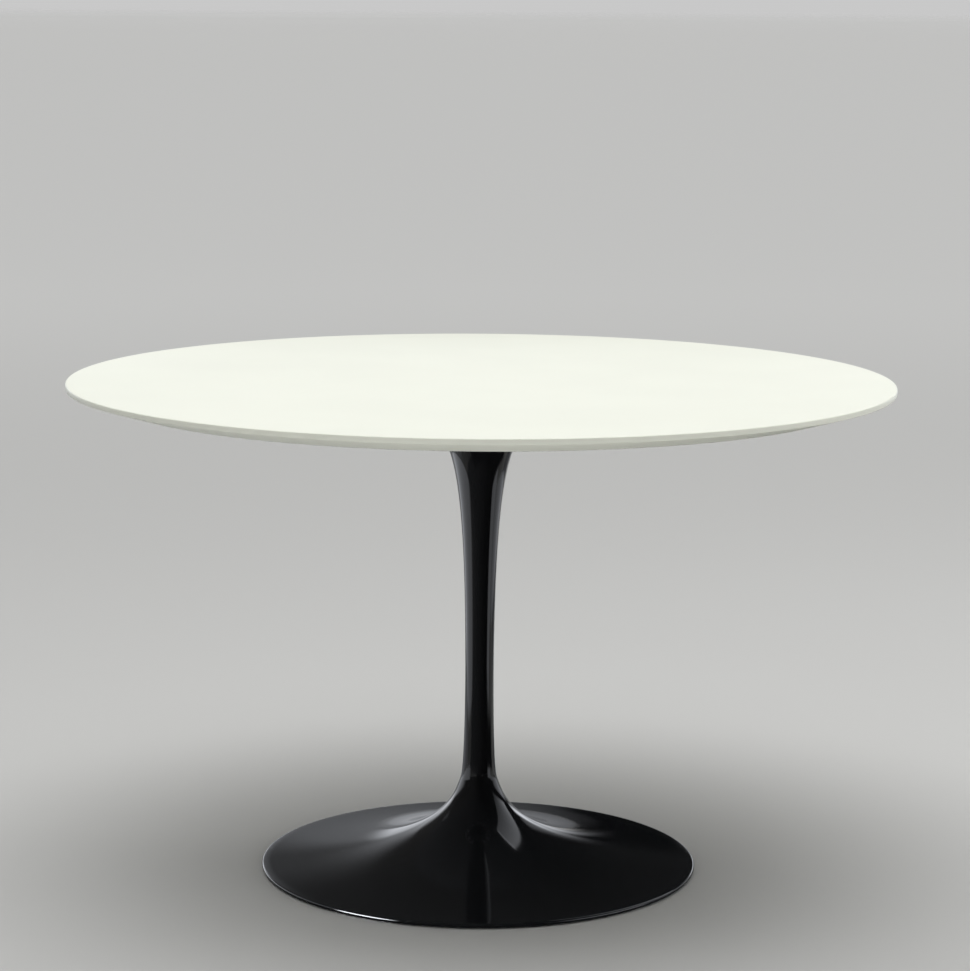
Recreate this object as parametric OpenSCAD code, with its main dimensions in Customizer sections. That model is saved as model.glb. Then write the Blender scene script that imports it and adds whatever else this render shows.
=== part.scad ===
// Round pedestal table: a tapered-edge top screwed to a cast spider, which one
// long tie rod clamps to a one-piece trumpet casting. Millimetres, +Z up, with
// the origin on the floor under the middle of the table.

/* [Table] */
// Height of the table top above the floor
table_h = 720; // [700:5:760]

/* [Top] */
// Diameter of the round top
top_d = 1185; // [1000:5:1250]
// Thickness of the top at its middle
top_t = 25; // [22:1:30]
// Height of the upright edge that shows all round
nose_h = 7.5; // [5:0.5:10]
// Width of the sloping band under the edge
bevel_w = 60; // [40:5:90]
// Thickness of the face laminate
laminate_t = 1.2; // [0.8:0.1:1.5]
// Thickness of the balancing sheet glued underneath
backing_t = 0.8; // [0.6:0.1:1.2]
// Thickness of the strip bent round the edge
edge_t = 2; // [1.5:0.5:3]
// Radius of the worn-smooth upper corner
arris_r = 1.5; // [1:0.1:2]

/* [Spider] */
// Diameter of the spider under the top
spider_d = 300; // [290:10:360]
// Thickness of the spider's plate
spider_t = 5; // [4:0.5:6]
// Number of ribs, and of screws between them
spider_n = 8; // [6:1:10]
// Diameter of the circle that the screws stand on
screw_pcd = 250; // [244:2:256]
// Thread size of the screws that hold the top
screw_d = 8; // [6:1:8]

/* [Pedestal] */
// Diameter of the foot
foot_d = 636.5; // [600:0.5:680]
// Thickness of the rounded rim of the foot
rim_t = 6.5; // [6:0.5:8]
// Diameter of the stem at its waist
waist_d = 41.5; // [38:0.5:50]
// Height of the waist
waist_z = 275; // [260:5:300]
// Diameter of the bell that carries the spider
bell_d = 184; // [170:2:190]
// Thickness of the cast wall
wall = 7; // [6:0.5:7]
// Number of ribs cast under the foot
foot_ribs = 8; // [6:1:12]

/* [Clamp and floor] */
// Thread size of the tie rod
rod_d = 16; // [14:1:16]
// Thickness of the gasket between spider and bell
gasket_t = 1.5; // [1:0.5:2]
// How far the glide ring stands below the rim
glide_drop = 1.5; // [1:0.5:2]
// Width of the glide ring
glide_w = 9.6; // [8:0.2:10]

/* [Hidden] */
$fn = 96;

white = [0.95, 0.95, 0.90];
black = [0.03, 0.03, 0.035];
cast_grey = [0.62, 0.63, 0.64];
zinc = [0.72, 0.73, 0.75];
steel = [0.45, 0.46, 0.48];
rubber = [0.08, 0.08, 0.08];

slip = 0.1;                             // radial clearance of parts that slip together

top_r = top_d / 2;
underside_z = table_h - top_t;
core_r = top_r - edge_t;
core_bottom_z = underside_z + backing_t;
core_top_z = table_h - laminate_t;
bevel_in_r = top_r - bevel_w;
bevel_rise = (top_t - nose_h) / bevel_w;

spider_r = spider_d / 2;
spider_bottom_z = underside_z - spider_t;
land_h = 1;                             // raised face that meets the gasket
lip_w = 6;
lip_h = 6;
spider_rib_t = 6;
spider_rib_h = 10;
spigot_r = 29.9;
spigot_len = 26;
spigot_z = spider_bottom_z - spigot_len;
pad_r = 11;
pad_h = 3;
pad_z = spider_bottom_z - pad_h;
screw_r = screw_d / 2;
screw_len = 20;
washer_t = 1.6;
head_h = 4.4;
insert_r = 6;
insert_len = 13;

bell_r = bell_d / 2;
bell_z = spider_bottom_z - land_h - gasket_t;
waist_r = waist_d / 2;
rim_r = rim_t / 2;
rim_mid = [foot_d / 2 - rim_r, glide_drop + rim_r];
rim_slope = 5;                          // degrees that the foot rises from its rim
neck = [26.7, 131.5];                   // radius and height where the foot becomes the stem
neck_lean = 20.5;                       // degrees off upright there
bell_lean = 29;                         // degrees off upright at the top
flare_pull = [264, 36.5];               // how far each curve's two handles stand off its ends
stem_pull = [15, 10];
trumpet_pull = [bell_z - waist_z - 12, 74];

rod_r = rod_d / 2;
bore_r = rod_r + 1;
rod_bottom_z = 12;
rod_top_z = spider_bottom_z;
nut_af = 1.5 * rod_d;                   // across the flats
nut_h = 0.8 * rod_d;
lock_nut_h = 0.5 * rod_d;
seat_z = 40;                            // underside of the central boss
boss_r = 34;
clamp_washer_t = 5;
spring_t = 3.5;

socket_r = spigot_r + slip;             // the bell's seat for the spigot
socket_z = spigot_z - 1;
pocket_r = 18;                          // room for the lock nut
pocket_z = socket_z - 10;
bell_boss_r = 38;
bell_land_w = 14;                       // width of the bell's machined top face
bell_hollow_z = bell_z - 60;
bell_webs = 6;
web_t = 6;
core_r_low = 12.5;                      // the cored hollow of the stem, at its foot
core_r_high = 26;                       // and under the bell
core_z = [74, pocket_z - 34];
dowel_r = 4;
dowel_at = 60;
dowel_len = 14.5;
dowel_depth = 8;

rib_t = 6;
rib_knee = [120, 19];                   // the foot ribs' lower edge bends here
rib_toe = [230, glide_drop + 2.5];
groove_r = foot_d / 2 - 20;             // middle of the glide ring's groove
groove_h = 3.5;

bevel_steps = 6;
curve_steps = 28;

function arc(mid, r, from, to, n) =
    [for (i = [0:n]) let (a = from + (to - from) * i / n) mid + r * [cos(a), sin(a)]];

// A cubic curve through its two ends, pulled towards two handles, as n + 1 points.
function cubic_at(p, t) =
    pow(1 - t, 3) * p[0] + 3 * pow(1 - t, 2) * t * p[1]
    + 3 * (1 - t) * t * t * p[2] + pow(t, 3) * p[3];
function cubic_slope(p, t) =
    3 * pow(1 - t, 2) * (p[1] - p[0]) + 6 * (1 - t) * t * (p[2] - p[1])
    + 3 * t * t * (p[3] - p[2]);
function cubic(p, n) = [for (i = [0:n]) cubic_at(p, i / n)];

// The same curve moved sideways by d, to its left seen from the first end.
function cubic_beside(p, d, n) =
    [for (i = [0:n]) let (s = cubic_slope(p, i / n), u = s / norm(s))
        cubic_at(p, i / n) + d * [-u[1], u[0]]];

function tail(list, from) = [for (i = [from:len(list) - 1]) list[i]];
function reversed(list) = [for (i = [len(list) - 1:-1:0]) list[i]];

// The outer line of the pedestal, from the foot's rim up to the bell. Each curve
// leaves in the direction in which the one before it arrives.
up_neck = [-sin(neck_lean), cos(neck_lean)];
rim_top = rim_mid + rim_r * [sin(rim_slope), cos(rim_slope)];
flare = [rim_top, rim_top + flare_pull[0] * [-cos(rim_slope), sin(rim_slope)],
    neck - flare_pull[1] * up_neck, neck];
lower_stem = [neck, neck + stem_pull[0] * up_neck, [waist_r, waist_z - stem_pull[1]],
    [waist_r, waist_z]];
upper_stem = [[waist_r, waist_z], [waist_r, waist_z + trumpet_pull[0]],
    [bell_r, bell_z] - trumpet_pull[1] * [sin(bell_lean), cos(bell_lean)], [bell_r, bell_z]];
outer_line = concat(
    arc(rim_mid, rim_r, -90, 90 - rim_slope, 10),
    tail(cubic(flare, curve_steps), 1),
    tail(cubic(lower_stem, 8), 1),
    tail(cubic(upper_stem, curve_steps), 1));

// ---- small parts ----

module ring(r_out, r_in, h, z = 0) {
    translate([0, 0, z]) difference() {
        cylinder(r = r_out, h = h);
        translate([0, 0, -1]) cylinder(r = r_in, h = h + 2);
    }
}

module round_about(n, r, start = 0) {
    for (i = [0:n - 1]) rotate([0, 0, start + 360 * i / n]) translate([r, 0, 0]) children();
}

// A hexagon nut standing on z = 0, its corners turned off at both ends.
module hex_nut(af, h, bore) {
    across_corners = af / cos(30);
    turned = 0.5 * (across_corners - af);
    difference() {
        intersection() {
            cylinder(d = across_corners, h = h, $fn = 6);
            rotate_extrude() polygon([[0, 0], [af / 2, 0],
                [af / 2 + turned, turned], [af / 2 + turned, h - turned],
                [af / 2, h], [0, h]]);
        }
        translate([0, 0, -1]) cylinder(r = bore, h = h + 2);
    }
}

// A button-head screw: the head hangs below z = 0 and the shank stands above.
module button_screw(d, len, head) {
    difference() {
        rotate_extrude() polygon(concat(
            [[0, -head]], arc([0.45 * d, -0.62 * head], 0.38 * head, -90, -20, 4),
            [[0.875 * d, -0.12 * head], [0.875 * d, 0], [d / 2 - 0.05, 0],
            [d / 2 - 0.05, len - 1], [d / 2 - 1, len], [0, len]]));
        translate([0, 0, -head - 1]) cylinder(r = 0.36 * d, h = 0.6 * head + 1, $fn = 6);
    }
}

// ---- the top ----

// The fibreboard, with its long bevel lacquered, and blind holes for the inserts.
module top_core() color(white) difference() {
    rotate_extrude() polygon([[0, core_bottom_z],
        [bevel_in_r + backing_t / bevel_rise, core_bottom_z],
        [core_r, underside_z + (core_r - bevel_in_r) * bevel_rise],
        [core_r, core_top_z], [0, core_top_z]]);
    round_about(spider_n, screw_pcd / 2)
        translate([0, 0, underside_z - 1]) cylinder(r = insert_r + 0.05, h = insert_len + 3);
}

module top_laminate() color(white)
    translate([0, 0, core_top_z]) cylinder(r = core_r, h = laminate_t);

// The edge strip: upright outside, bevelled under, with a rounded upper corner.
module edge_band() color(white)
    rotate_extrude() polygon(concat(
        [[core_r, table_h], [core_r, underside_z + (core_r - bevel_in_r) * bevel_rise],
        [top_r, table_h - nose_h]],
        arc([top_r - arris_r, table_h - arris_r], arris_r, 0, 90, bevel_steps)));

// The balancing sheet ends where the bevel starts, and its edge follows the bevel.
module backing_sheet() color(white) difference() {
    rotate_extrude() polygon([[0, underside_z], [bevel_in_r, underside_z],
        [bevel_in_r + backing_t / bevel_rise, core_bottom_z], [0, core_bottom_z]]);
    round_about(spider_n, screw_pcd / 2)
        translate([0, 0, underside_z - 1]) cylinder(r = insert_r + 0.5, h = backing_t + 2);
}

module threaded_inserts() color("goldenrod")
    round_about(spider_n, screw_pcd / 2)
        ring(insert_r, screw_r + 0.05, insert_len, core_bottom_z);

// ---- the spider ----

// One rib: as deep as the bell's edge allows near the hub, and level with the lip outside.
module spider_rib() {
    rotate([90, 0, 0]) translate([0, 0, -spider_rib_t / 2]) linear_extrude(spider_rib_t)
        polygon([[bell_r + 4, spider_bottom_z + 1],
            [bell_r + 6, spider_bottom_z - spider_rib_h],
            [spider_r - lip_w / 2, spider_bottom_z - lip_h + 1],
            [spider_r - lip_w / 2, spider_bottom_z + 1]]);
}

// The cast spider: a plate with ribs and a lip, pads for the screws, a machined
// face for the gasket, and a spigot that centres it in the bell.
module mounting_spider() color(cast_grey) difference() {
    union() {
        translate([0, 0, spider_bottom_z]) cylinder(r = spider_r, h = spider_t);
        ring(spider_r, spider_r - lip_w, lip_h + 1, spider_bottom_z - lip_h);
        ring(bell_r + 1, bell_r - bell_land_w - 1, land_h + 1, spider_bottom_z - land_h);
        translate([0, 0, spigot_z]) cylinder(r = spigot_r, h = spigot_len + 1);
        round_about(spider_n, 0, 180 / spider_n) spider_rib();
        round_about(spider_n, screw_pcd / 2)
            translate([0, 0, pad_z]) cylinder(r = pad_r, h = pad_h + 1);
    }
    round_about(spider_n, screw_pcd / 2)
        translate([0, 0, pad_z - 1]) cylinder(r = screw_r + 0.5, h = spider_t + pad_h + 2);
    round_about(2, dowel_at)
        translate([0, 0, spider_bottom_z - 1]) cylinder(r = dowel_r + slip, h = spider_t + 2);
    translate([0, 0, spigot_z - 1]) cylinder(r = rod_d, h = spider_t + spigot_len + 2);
    translate([0, 0, underside_z - 3]) cylinder(r = rod_d + 4, h = 4);
}

// The flanged steel bush pressed into the spider, threaded for the tie rod.
module hub_bushing() color(steel) difference() {
    union() {
        translate([0, 0, spigot_z]) cylinder(r = rod_d - 0.02, h = spider_t + spigot_len);
        translate([0, 0, underside_z - 3]) cylinder(r = rod_d + 3.9, h = 3);
    }
    translate([0, 0, spigot_z - 1]) cylinder(r = rod_r + 0.05, h = spider_t + spigot_len + 2);
}

module spider_screws() color(zinc)
    round_about(spider_n, screw_pcd / 2)
        translate([0, 0, pad_z - washer_t]) button_screw(screw_d, screw_len, head_h);

module spider_washers() color(zinc)
    round_about(spider_n, screw_pcd / 2)
        ring(screw_d, screw_r + 0.2, washer_t, pad_z - washer_t);

module flange_gasket() color(rubber)
    ring(bell_r, bell_r - bell_land_w, gasket_t, bell_z);

module locating_dowels() color(steel)
    round_about(2, dowel_at) translate([0, 0, bell_z - dowel_depth])
        rotate_extrude() polygon([[0, 0], [dowel_r - 0.5, 0], [dowel_r, 0.5],
            [dowel_r, dowel_len - 1], [dowel_r - 1, dowel_len], [0, dowel_len]]);

// ---- the pedestal ----

// Space under the foot: it follows the outer line one wall inside it, down from
// the boss to the land that carries the glide ring.
module foot_hollow() {
    inside = [for (p = cubic_beside(flare, wall, curve_steps))
        if (p[0] > boss_r + 2 && p[0] < groove_r - 16) p];
    rotate_extrude() polygon(concat(
        [[groove_r - 14, -1], [groove_r - 16, inside[0][1] - 0.5]], inside,
        [[boss_r + 1, inside[len(inside) - 1][1] - 3], [boss_r, seat_z + 20],
        [boss_r, seat_z], [boss_r - 3, seat_z], [0, seat_z], [0, -1]]));
}

// One rib under the foot: deep at the boss, it tapers out along the foot, and its
// upper edge is buried in the wall.
module foot_rib() {
    buried = [for (p = cubic_beside(flare, wall / 2, curve_steps))
        if (p[0] > boss_r && p[0] < groove_r - 8) p];
    rotate([90, 0, 0]) translate([0, 0, -rib_t / 2]) linear_extrude(rib_t)
        polygon(concat(buried, [[boss_r - 2, buried[len(buried) - 1][1]],
            [boss_r - 2, seat_z], rib_knee, rib_toe, [groove_r - 12, glide_drop + 1.5]]));
}

// The stem's cored hollow: one wall inside the outer line, closing in at both
// ends on the bores that lead the tie rod.
module stem_core() {
    inside = [for (p = cubic_beside(upper_stem, wall + 1, curve_steps))
        if (p[0] > core_r_low + 0.5 && p[0] < core_r_high && p[1] > waist_z) p];
    rotate_extrude() polygon(concat(
        [[0, core_z[0] - 8], [core_r_low, core_z[0]], [core_r_low, waist_z]], inside,
        [[core_r_high, core_z[1]], [pocket_r, pocket_z - 16], [pocket_r, pocket_z],
        [0, pocket_z]]));
}

// Ring-shaped hollow in the bell, between its wall and the boss for the spigot.
module bell_hollow() {
    inside = [for (p = cubic_beside(upper_stem, wall + 1, curve_steps))
        if (p[1] > bell_hollow_z + 6 && p[0] < bell_r - bell_land_w) p];
    rotate_extrude() polygon(concat(
        [[bell_boss_r, bell_z + 1], [bell_boss_r, bell_hollow_z + 8],
        [inside[0][0] - 3, bell_hollow_z + 2]], inside,
        [[bell_r - bell_land_w, inside[len(inside) - 1][1] + 2],
        [bell_r - bell_land_w, bell_z + 1]]));
}

// A web across the bell's hollow.
module bell_web() {
    translate([bell_boss_r - 4, -web_t / 2, bell_hollow_z])
        cube([bell_r - wall - bell_boss_r, web_t, bell_z - bell_hollow_z - 8]);
}

module pedestal_blank() {
    rotate_extrude() polygon(concat([[0, glide_drop]], outer_line, [[0, bell_z]]));
}

// The whole casting: foot, stem and bell in one.
module pedestal() color(black) difference() {
    union() {
        difference() {
            pedestal_blank();
            foot_hollow();
            bell_hollow();
        }
        intersection() {
            pedestal_blank();
            union() {
                round_about(foot_ribs, 0, 180 / foot_ribs) foot_rib();
                round_about(bell_webs, 0) bell_web();
                round_about(2, dowel_at) translate([0, 0, bell_hollow_z])
                    cylinder(r = dowel_r + 5, h = bell_z - bell_hollow_z);
            }
        }
    }
    translate([0, 0, seat_z - 1]) cylinder(r = bore_r, h = bell_z);
    stem_core();
    translate([0, 0, socket_z]) cylinder(r = socket_r, h = bell_z);
    translate([0, 0, pocket_z]) cylinder(r = pocket_r, h = bell_z);
    round_about(2, dowel_at)
        translate([0, 0, bell_z - dowel_depth]) cylinder(r = dowel_r, h = dowel_depth + 1);
    ring(groove_r + glide_w / 2 + 0.2, groove_r - glide_w / 2 - 0.2, groove_h + 1, glide_drop - 1);
}

// ---- the clamp ----

module tie_rod() color(zinc) translate([0, 0, rod_bottom_z])
    rotate_extrude() polygon([[0, 0], [rod_r - 1.5, 0], [rod_r, 1.5],
        [rod_r, rod_top_z - rod_bottom_z - 1.5],
        [rod_r - 1.5, rod_top_z - rod_bottom_z], [0, rod_top_z - rod_bottom_z]]);

module rod_lock_nut() color(zinc) translate([0, 0, spigot_z - lock_nut_h])
    hex_nut(nut_af, lock_nut_h, rod_r + 0.05);

module clamp_washer() color(zinc)
    ring(boss_r - 6, rod_r + 0.5, clamp_washer_t, seat_z - clamp_washer_t);

// A split washer, drawn flat as it is when the nut is tight.
module spring_washer() color(steel) difference() {
    ring(rod_r + 5.7, rod_r + 0.3, spring_t, seat_z - clamp_washer_t - spring_t);
    translate([rod_r + 3, 0, seat_z - clamp_washer_t - spring_t / 2]) rotate([30, 0, 0])
        cube([8, 1.2, 3 * spring_t], center = true);
}

module clamp_nut() color(zinc)
    translate([0, 0, seat_z - clamp_washer_t - spring_t - nut_h])
        hex_nut(nut_af, nut_h, rod_r + 0.05);

// The plastic ring that the table stands on, with a rounded foot.
module glide_ring() color(rubber) {
    half = glide_w / 2;
    rotate_extrude() translate([groove_r, 0]) polygon(concat(
        [[half, glide_drop + groove_h], [-half, glide_drop + groove_h]],
        arc([-half + 1.2, 1.2], 1.2, 180, 270, 4),
        arc([half - 1.2, 1.2], 1.2, 270, 360, 4)));
}

top_core();
top_laminate();
edge_band();
backing_sheet();
threaded_inserts();
mounting_spider();
hub_bushing();
spider_screws();
spider_washers();
flange_gasket();
locating_dowels();
pedestal();
tie_rod();
rod_lock_nut();
clamp_washer();
spring_washer();
clamp_nut();
glide_ring();
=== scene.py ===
"""Round pedestal table: its visible pieces, their finishes and the studio.

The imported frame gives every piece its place. The outlines and sizes of the table's pieces are in
millimetres and everything else is in metres, with +Z up and the origin on the floor under the
middle of the table.
"""

import logging
from collections.abc import Iterable, Iterator
from dataclasses import dataclass
from enum import Enum
from math import atan, ceil, cos, degrees, pi, radians, sin, sqrt, tan
from typing import Any, ClassVar

import bmesh
import bpy
from mathutils import Euler, Matrix, Vector
from mathutils.geometry import interpolate_bezier

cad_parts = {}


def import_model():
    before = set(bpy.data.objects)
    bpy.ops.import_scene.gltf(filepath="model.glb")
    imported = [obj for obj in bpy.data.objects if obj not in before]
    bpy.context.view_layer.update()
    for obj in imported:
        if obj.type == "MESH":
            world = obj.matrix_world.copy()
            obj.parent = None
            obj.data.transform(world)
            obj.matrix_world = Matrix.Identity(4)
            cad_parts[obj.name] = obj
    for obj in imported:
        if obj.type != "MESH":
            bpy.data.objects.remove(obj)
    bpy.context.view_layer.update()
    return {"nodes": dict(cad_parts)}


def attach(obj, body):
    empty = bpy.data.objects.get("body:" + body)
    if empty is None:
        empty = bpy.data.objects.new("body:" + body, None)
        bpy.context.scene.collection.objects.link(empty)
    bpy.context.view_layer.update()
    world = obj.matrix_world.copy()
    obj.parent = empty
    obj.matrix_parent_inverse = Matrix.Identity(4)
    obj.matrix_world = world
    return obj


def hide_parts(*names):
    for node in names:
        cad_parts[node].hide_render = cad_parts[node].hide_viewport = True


frame: dict[str, Any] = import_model()

log = logging.getLogger("pedestal_table")

MM = 0.001
FULL_TURN = 2 * pi
WELD = 0.005 * MM
SEAM = 0.002 * MM
CREASE = radians(34)
BODY = "root"
STUDIO_TINT = (0.95, 0.98, 1.04)

Pair = tuple[float, float]
Triple = tuple[float, float, float]
Line = list[Vector]
Outline = list[Pair | Line]
Shape = bmesh.types.BMesh
Piece = bpy.types.Object
Node = bpy.types.Node
Socket = bpy.types.NodeSocket
Inputs = dict[str | int, Any]


# --- Shader maths ---


class Signal:
    """A number that varies over a surface. Arithmetic on it adds Math nodes to its tree."""

    def __init__(self, socket: Socket) -> None:
        """Wraps a node's output socket."""
        self.socket = socket

    def maths(self, operation: str, *terms: "Signal | float") -> "Signal":
        """Adds one Math node.

        Args:
            operation: The Math node's operation.
            terms: Its inputs in order, this signal among them.

        Returns:
            The node's result.
        """
        tree = self.socket.id_data
        node = tree.nodes.new("ShaderNodeMath")
        node.operation = operation
        for slot, term in zip(node.inputs, terms):
            if isinstance(term, Signal):
                tree.links.new(slot, term.socket)
            else:
                slot.default_value = term
        return Signal(node.outputs[0])

    def __add__(self, other: "Signal | float") -> "Signal":
        """Adds."""
        return self.maths("ADD", self, other)

    __radd__ = __add__

    def __mul__(self, other: "Signal | float") -> "Signal":
        """Multiplies."""
        return self.maths("MULTIPLY", self, other)

    __rmul__ = __mul__

    def __sub__(self, other: "Signal | float") -> "Signal":
        """Takes the other away."""
        return self.maths("SUBTRACT", self, other)

    def __rsub__(self, other: float) -> "Signal":
        """Takes this signal away from a number."""
        return self.maths("SUBTRACT", other, self)

    def __pow__(self, other: float) -> "Signal":
        """Raises to a power."""
        return self.maths("POWER", self, other)

    def __abs__(self) -> "Signal":
        """Drops the sign."""
        return self.maths("ABSOLUTE", self)

    def greatest(self, other: "Signal | float") -> "Signal":
        """Keeps whichever is greater."""
        return self.maths("MAXIMUM", self, other)

    def bearing(self, other: "Signal") -> "Signal":
        """Gives the angle whose tangent is this signal over the other, in radians."""
        return self.maths("ARCTAN2", self, other)


class ShaderKit:
    """Adds nodes to one shader tree, and hands back what they give."""

    def __init__(self, tree: bpy.types.NodeTree) -> None:
        """Starts from an empty tree."""
        self.tree = tree
        tree.nodes.clear()

    def add(self, kind: str, sockets: Inputs | None = None, **settings: Any) -> Node:
        """Adds any node.

        Args:
            kind: The node's type, without the word ShaderNode.
            sockets: A value, a signal or an output socket for each input that is used.
            settings: The node's properties, which are set first.

        Returns:
            The node.
        """
        node = self.tree.nodes.new("ShaderNode" + kind)
        for name, value in settings.items():
            setattr(node, name, value)
        for name, value in (sockets or {}).items():
            slot = node.inputs[name]
            source = value.socket if isinstance(value, Signal) else value
            if isinstance(source, Socket):
                self.tree.links.new(slot, source)
            else:
                slot.default_value = (*source, 1.0) if slot.type == "RGBA" else source
        return node

    def place(self) -> Socket:
        """Gives the point on the piece, in the table's own frame."""
        return self.add("TexCoord").outputs["Object"]

    def axes(self, space: str = "Object") -> list[Signal]:
        """Gives X, Y and Z of the point on the piece, or in another of the coordinate spaces."""
        split = self.add("SeparateXYZ", {0: self.add("TexCoord").outputs[space]})
        return [Signal(out) for out in split.outputs]

    def radius(self) -> Signal:
        """Gives the point's distance from the table's axis."""
        x, y, _ = self.axes()
        return (x * x + y * y) ** 0.5

    def stretched(self, scale: Triple, turn: float) -> Socket:
        """Gives the point turned by radians about Z, then with its axes scaled by factors."""
        turned = self.add("Mapping", {"Vector": self.place(), "Rotation": (0, 0, turn)})
        return self.add(
            "VectorMath", {0: turned.outputs[0], 1: scale}, operation="MULTIPLY"
        ).outputs[0]

    def polar(self, along: float, around: float, up: float) -> Socket:
        """Gives the distance from the axis, the angle and the height, each times its factor."""
        x, y, z = self.axes()
        sockets = {0: self.radius() * along, 1: y.bearing(x) * around, 2: z * up}
        return self.add("CombineXYZ", sockets).outputs[0]

    def noise(
        self, scale: float, detail: float = 2.0, rough: float = 0.5, at: Socket | None = None
    ) -> Signal:
        """Gives noise from 0 to 1: patches per metre, finer layers, their strength, the point."""
        sockets = {
            "Vector": at or self.place(), "Scale": scale, "Detail": detail, "Roughness": rough,
        }
        return Signal(self.add("TexNoise", sockets).outputs[0])

    def specks(self, scale: float, size: float, share: float) -> Signal:
        """Gives scattered specks: 1 inside one and 0 outside.

        Args:
            scale: Cells per metre.
            size: A speck's size as a share of its cell.
            share: How many of the cells hold one, from 0 to 1.

        Returns:
            The mask.
        """
        cells = self.add("TexVoronoi", {"Vector": self.place(), "Scale": scale})
        split = self.add("SeparateColor", {0: cells.outputs["Color"]})
        chosen = self.step(Signal(split.outputs[0]), share, share - 0.01)
        return self.step(Signal(cells.outputs["Distance"]), size, 0.4 * size) * chosen

    def step(self, value: Signal, low: float, high: float) -> Signal:
        """Gives a smooth rise from 0 at low to 1 at high, or a fall where low is the greater."""
        sockets = {"Value": value, "From Min": low, "From Max": high}
        return Signal(self.add("MapRange", sockets, interpolation_type="SMOOTHSTEP").outputs[0])

    def tint(self, share: Signal, first: Any, second: Any) -> Socket:
        """Mixes two colours or colour sockets. share says how much of the second shows."""
        return self.add("Mix", {0: share, 6: first, 7: second}, data_type="RGBA").outputs[2]

    def relief(self, height: Signal, depth: float, under: Socket | None = None) -> Socket:
        """Turns a height from 0 to 1 into a bump of so many metres, on another bump if given."""
        sockets = {"Height": height, "Distance": depth, "Strength": 1.0}
        return self.add("Bump", sockets | ({"Normal": under} if under else {})).outputs[0]

    def end(self, shader: Node, kind: str = "Material") -> None:
        """Wires a shader to the tree's output."""
        self.add("Output" + kind, {"Surface": shader.outputs[0]})

    def surface(self, sockets: Inputs) -> None:
        """Ends a material with a Principled shader, with these values and signals."""
        self.end(self.add("BsdfPrincipled", sockets))

    def veil(self, share: Signal, first: Node, second: Node) -> None:
        """Ends a material with two shaders mixed. share says how much of the second shows."""
        self.end(self.add("MixShader", {0: share, 1: first.outputs[0], 2: second.outputs[0]}))


def blank_material(name: str) -> tuple[bpy.types.Material, ShaderKit]:
    made = bpy.data.materials.new(name)
    made.use_nodes = True
    return made, ShaderKit(made.node_tree)


# --- Finishes ---


@dataclass(frozen=True)
class Finish:
    """What every finish has: a name, the record's slot for it, a colour and how rough it is."""

    name: str
    slot: str
    colour: Triple
    rough: float

    def material(self) -> bpy.types.Material:
        """Makes the finish's material the first time, and hands it back after that."""
        made = bpy.data.materials.get(self.name)
        if made is None:
            made, kit = blank_material(self.name)
            made.diffuse_color = (*self.colour, 1.0)
            self.wire(kit)
        return made

    def wire(self, kit: ShaderKit) -> None:
        """Adds the finish's nodes."""
        raise NotImplementedError

    def shade(self, factor: float) -> Triple:
        """Gives the finish's colour, lighter or darker by a factor."""
        return tuple(min(1.0, factor * part) for part in self.colour)


@dataclass(frozen=True)
class SatinSheet(Finish):
    """Smooth sheet or strip with a fine pressed grain, such as laminate.

    grain is the depth of the pressed texture, and handled how far smudges change the gloss.
    """

    grain: float = 0.012 * MM
    handled: float = 0.05

    def wire(self, kit: ShaderKit) -> None:
        """Adds a faint tone, wiped smudges, short fine scratches and the pressed grain."""
        tone = kit.noise(5.0, 3.0)
        smudge = kit.step(kit.noise(14.0, 4.0, 0.6), 0.48, 0.72)
        wiped = kit.noise(30.0, 3.0, 0.6, kit.stretched((1.0, 0.16, 1.0), 0.7))
        scratch = kit.step(
            kit.noise(260.0, 1.0, 0.5, kit.stretched((1.0, 0.03, 1.0), 0.35)), 0.74, 0.80
        )
        colour = kit.tint(kit.step(tone, 0.3, 0.7), self.shade(0.988), self.shade(1.008))
        pressed = kit.noise(1400.0, 3.0, 0.65)
        kit.surface({
            "Base Color": colour,
            "Roughness": (
                self.rough + self.handled * (smudge * 0.6 + wiped * 0.5 - 0.3) - scratch * 0.03
            ),
            "Normal": kit.relief(pressed - 0.25 * scratch, self.grain),
            "Specular IOR Level": 0.4,
        })


@dataclass(frozen=True)
class SprayedWhite(Finish):
    """White lacquer sprayed on board: a soft orange peel, with the odd speck of dust in it."""

    peel: float = 0.03 * MM

    def wire(self, kit: ShaderKit) -> None:
        """Adds overspray tone, peel and specks."""
        specks = kit.specks(70.0, 0.10, 0.12)
        tone = kit.step(kit.noise(9.0, 3.0), 0.35, 0.65)
        peel = kit.noise(260.0, 2.0, 0.4) + 0.3 * kit.noise(900.0, 2.0)
        kit.surface({
            "Base Color": kit.tint(
                specks, kit.tint(tone, self.shade(0.975), self.colour), self.shade(0.82)
            ),
            "Roughness": self.rough + 0.08 * kit.noise(20.0, 3.0) - 0.04,
            "Normal": kit.relief(peel + specks * 0.6, self.peel),
            "Specular IOR Level": 0.45,
        })


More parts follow.
